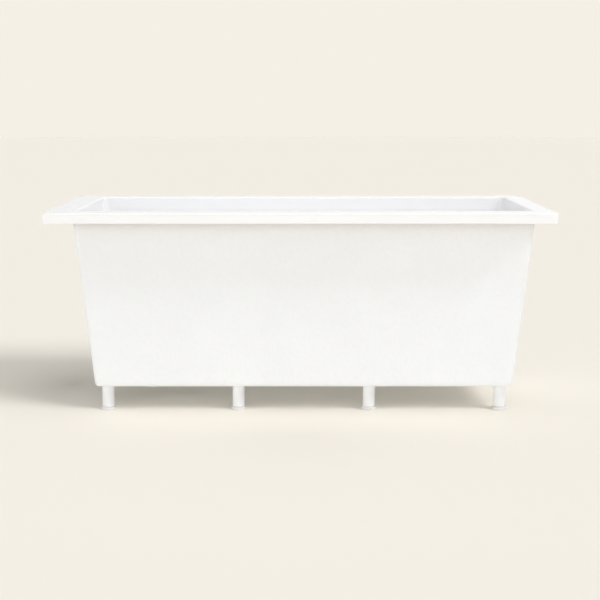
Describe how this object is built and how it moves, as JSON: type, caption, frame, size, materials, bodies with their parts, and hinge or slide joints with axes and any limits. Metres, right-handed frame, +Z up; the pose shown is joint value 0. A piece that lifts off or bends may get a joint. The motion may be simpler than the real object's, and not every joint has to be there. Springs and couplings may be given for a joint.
{
  "type": "bathtub",
  "caption": "Rectangular bathtub with a flat overhanging rim and tapered walls, standing on slender levelling legs, with a knob-worked pop-up waste and overflow.",
  "frame": {"origin": "on the floor under the centre of the rim", "axes": "+X along the rim's length, from the drain end to the foot end; +Y from the front to the back; +Z up"},
  "size_m": [1.5, 0.7, 0.62],
  "materials": {
    "acrylic": "high gloss sheet",
    "fibreglass": "sprayed and rolled, orange-peel texture, satin",
    "board": "raw chipboard",
    "leg_plastic": "semi-gloss extruded tube",
    "foot_plastic": "satin moulded",
    "steel": "zinc plated",
    "chrome": "polished plating",
    "rubber": "matt moulded",
    "waste_plastic": "satin moulded",
    "brass": "turned",
    "hose_plastic": "corrugated, satin",
    "cable_jacket": "smooth sheath"
  },
  "bodies": {
    "tub": {"acrylic_shell": "acrylic", "fibreglass_backing": "fibreglass", "base_board": "board", "rim_board_front": "board", "rim_board_back": "board", "rim_board_left": "board", "rim_board_right": "board", "leg_tube_1": "leg_plastic", "leg_tube_2": "leg_plastic", "leg_tube_3": "leg_plastic", "leg_tube_4": "leg_plastic", "leg_tube_5": "leg_plastic", "leg_tube_6": "leg_plastic", "leg_tube_7": "leg_plastic", "leg_tube_8": "leg_plastic", "leg_plugs": "foot_plastic", "leg_bolts": "steel", "tee_nuts": "steel", "leg_inserts": "foot_plastic", "waste_flange": "chrome", "waste_seal": "rubber", "waste_washer": "rubber", "waste_body": "waste_plastic", "outlet_nut": "waste_plastic", "outlet_seal": "rubber", "outlet_pipe": "waste_plastic", "overflow_plate": "chrome", "overflow_screws": "steel", "overflow_seal": "rubber", "overflow_body": "waste_plastic", "overflow_hose": "hose_plastic", "hose_nuts": "waste_plastic", "pull_cable": "cable_jacket"},
    "knob": {"overflow_knob": "chrome", "overflow_crank": "brass"},
    "rocker": {"lift_rocker": "brass"},
    "stopper": {"stopper_cap": "chrome", "stopper_seal": "rubber", "stopper_stem": "brass"},
    "foot_1": {"foot_cap_1": "foot_plastic"},
    "stud_1": {"foot_stud_1": "steel"},
    "foot_2": {"foot_cap_2": "foot_plastic"},
    "stud_2": {"foot_stud_2": "steel"},
    "foot_3": {"foot_cap_3": "foot_plastic"},
    "stud_3": {"foot_stud_3": "steel"},
    "foot_4": {"foot_cap_4": "foot_plastic"},
    "stud_4": {"foot_stud_4": "steel"},
    "foot_5": {"foot_cap_5": "foot_plastic"},
    "stud_5": {"foot_stud_5": "steel"},
    "foot_6": {"foot_cap_6": "foot_plastic"},
    "stud_6": {"foot_stud_6": "steel"},
    "foot_7": {"foot_cap_7": "foot_plastic"},
    "stud_7": {"foot_stud_7": "steel"},
    "foot_8": {"foot_cap_8": "foot_plastic"},
    "stud_8": {"foot_stud_8": "steel"}
  },
  "joints": [
    {"name": "foot_lift_1", "type": "slide", "parent": "tub", "child": "foot_1", "axis": [0, 0, -1], "range_m": [0, 0.025]},
    {"name": "stud_turn_1", "type": "hinge", "parent": "foot_1", "child": "stud_1", "pos_m": [-0.59163, -0.19163, 0.02], "axis": [0, 0, -1], "range_deg": [0, 6000]},
    {"name": "foot_lift_2", "type": "slide", "parent": "tub", "child": "foot_2", "axis": [0, 0, -1], "range_m": [0, 0.025]},
    {"name": "stud_turn_2", "type": "hinge", "parent": "foot_2", "child": "stud_2", "pos_m": [-0.18954, -0.19163, 0.02], "axis": [0, 0, -1], "range_deg": [0, 6000]},
    {"name": "foot_lift_3", "type": "slide", "parent": "tub", "child": "foot_3", "axis": [0, 0, -1], "range_m": [0, 0.025]},
    {"name": "stud_turn_3", "type": "hinge", "parent": "foot_3", "child": "stud_3", "pos_m": [0.21254, -0.19163, 0.02], "axis": [0, 0, -1], "range_deg": [0, 6000]},
    {"name": "foot_lift_4", "type": "slide", "parent": "tub", "child": "foot_4", "axis": [0, 0, -1], "range_m": [0, 0.025]},
    {"name": "stud_turn_4", "type": "hinge", "parent": "foot_4", "child": "stud_4", "pos_m": [0.61463, -0.19163, 0.02], "axis": [0, 0, -1], "range_deg": [0, 6000]},
    {"name": "foot_lift_5", "type": "slide", "parent": "tub", "child": "foot_5", "axis": [0, 0, -1], "range_m": [0, 0.025]},
    {"name": "stud_turn_5", "type": "hinge", "parent": "foot_5", "child": "stud_5", "pos_m": [-0.59163, 0.21463, 0.02], "axis": [0, 0, -1], "range_deg": [0, 6000]},
    {"name": "foot_lift_6", "type": "slide", "parent": "tub", "child": "foot_6", "axis": [0, 0, -1], "range_m": [0, 0.025]},
    {"name": "stud_turn_6", "type": "hinge", "parent": "foot_6", "child": "stud_6", "pos_m": [-0.18954, 0.21463, 0.02], "axis": [0, 0, -1], "range_deg": [0, 6000]},
    {"name": "foot_lift_7", "type": "slide", "parent": "tub", "child": "foot_7", "axis": [0, 0, -1], "range_m": [0, 0.025]},
    {"name": "stud_turn_7", "type": "hinge", "parent": "foot_7", "child": "stud_7", "pos_m": [0.21254, 0.21463, 0.02], "axis": [0, 0, -1], "range_deg": [0, 6000]},
    {"name": "foot_lift_8", "type": "slide", "parent": "tub", "child": "foot_8", "axis": [0, 0, -1], "range_m": [0, 0.025]},
    {"name": "stud_turn_8", "type": "hinge", "parent": "foot_8", "child": "stud_8", "pos_m": [0.61463, 0.21463, 0.02], "axis": [0, 0, -1], "range_deg": [0, 6000]},
    {"name": "knob_turn", "type": "hinge", "parent": "tub", "child": "knob", "pos_m": [-0.65772, 0.0115, 0.52], "axis": [0.9957, 0, 0.0924], "range_deg": [0, 90]},
    {"name": "rocker_turn", "type": "hinge", "parent": "tub", "child": "rocker", "pos_m": [-0.487, 0.0115, 0.046], "axis": [0, -1, 0], "range_deg": [0, 42]},
    {"name": "stopper_lift", "type": "slide", "parent": "tub", "child": "stopper", "axis": [0, 0, 1], "range_m": [0, 0.01]}
  ],
  "couplings": [
    {"joint": "stud_turn_1", "follows": "foot_lift_1", "rad_per_m": 4188.8},
    {"joint": "stud_turn_2", "follows": "foot_lift_2", "rad_per_m": 4188.8},
    {"joint": "stud_turn_3", "follows": "foot_lift_3", "rad_per_m": 4188.8},
    {"joint": "stud_turn_4", "follows": "foot_lift_4", "rad_per_m": 4188.8},
    {"joint": "stud_turn_5", "follows": "foot_lift_5", "rad_per_m": 4188.8},
    {"joint": "stud_turn_6", "follows": "foot_lift_6", "rad_per_m": 4188.8},
    {"joint": "stud_turn_7", "follows": "foot_lift_7", "rad_per_m": 4188.8},
    {"joint": "stud_turn_8", "follows": "foot_lift_8", "rad_per_m": 4188.8},
    {"joint": "rocker_turn", "follows": "knob_turn", "ratio": 0.46667},
    {"joint": "stopper_lift", "follows": "knob_turn", "m_per_rad": 0.006366}
  ]
}
